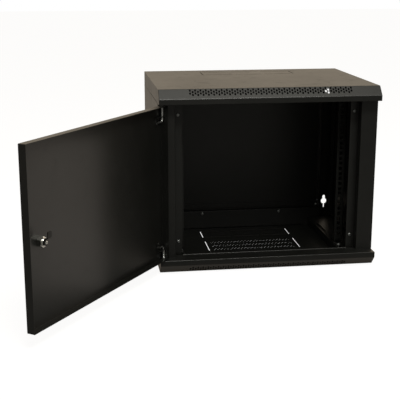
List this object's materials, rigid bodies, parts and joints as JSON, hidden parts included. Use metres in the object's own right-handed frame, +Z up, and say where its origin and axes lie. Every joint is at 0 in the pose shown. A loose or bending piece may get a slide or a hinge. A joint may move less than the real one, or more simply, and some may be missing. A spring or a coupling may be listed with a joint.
{
  "type": "wall mount network cabinet",
  "caption": "Shallow wall mount network cabinet in black folded sheet, with sloped perforated edges, 19 inch rails and a solid door swung open on sprung hinge pins.",
  "frame": {"origin": "middle of the cabinet's underside", "axes": "+X right, +Y towards the wall, +Z up, seen from the door"},
  "size_m": [0.9363, 0.9217, 0.501],
  "materials": {
    "black_coat": "satin black powder coat",
    "zinc": "bright zinc plate",
    "lock_chrome": "nickel plated zinc casting",
    "grey_nylon": "grey nylon"
  },
  "bodies": {
    "cabinet": {"bottom_cover": "black_coat", "top_cover": "black_coat", "back_panel": "black_coat", "side_panel_right": "black_coat", "side_panel_left": "black_coat", "rear_post_right": "black_coat", "rear_post_left": "black_coat", "front_post_right": "black_coat", "front_post_left": "black_coat", "lower_channel_right": "black_coat", "lower_channel_left": "black_coat", "upper_channel_right": "black_coat", "upper_channel_left": "black_coat", "lower_back_beam": "black_coat", "upper_back_beam": "black_coat", "rail_right": "black_coat", "rail_left": "black_coat", "post_screws": "zinc", "post_nuts": "zinc", "beam_screws": "zinc", "beam_nuts": "zinc", "back_rivets": "zinc", "rail_bolts": "zinc", "rail_nuts": "zinc", "hinge_bush_lower": "grey_nylon", "hinge_bush_upper": "grey_nylon"},
    "door": {"door_shell": "black_coat", "hinge_bracket_lower": "black_coat", "hinge_bracket_upper": "black_coat", "hinge_rivets": "zinc", "lock_barrel": "lock_chrome", "lock_nut": "lock_chrome", "hinge_spring_lower": "zinc", "hinge_spring_upper": "zinc"},
    "lower_pin": {"hinge_pin_lower": "zinc"},
    "upper_pin": {"hinge_pin_upper": "zinc"},
    "lock_cam": {"lock_core": "lock_chrome", "lock_cam": "zinc", "cam_screw": "zinc"}
  },
  "joints": [
    {"name": "door_hinge", "type": "hinge", "parent": "cabinet", "child": "door", "pos_m": [-0.2906, -0.2098, 0.2505], "axis": [0, 0, 1], "range_deg": [-54.65, 125.35]},
    {"name": "lower_pin_slide", "type": "slide", "parent": "door", "child": "lower_pin", "axis": [0, 0, 1], "range_m": [0, 0.009], "stiffness_N_per_m": 900, "springref_m": -0.006, "deforming": ["hinge_spring_lower"]},
    {"name": "upper_pin_slide", "type": "slide", "parent": "door", "child": "upper_pin", "axis": [0, 0, -1], "range_m": [0, 0.009], "stiffness_N_per_m": 900, "springref_m": -0.006, "deforming": ["hinge_spring_upper"]},
    {"name": "lock_turn", "type": "hinge", "parent": "door", "child": "lock_cam", "pos_m": [-0.59817, -0.64339, 0.23503], "axis": [0.8156, -0.5786, 0], "range_deg": [0, 90]}
  ]
}
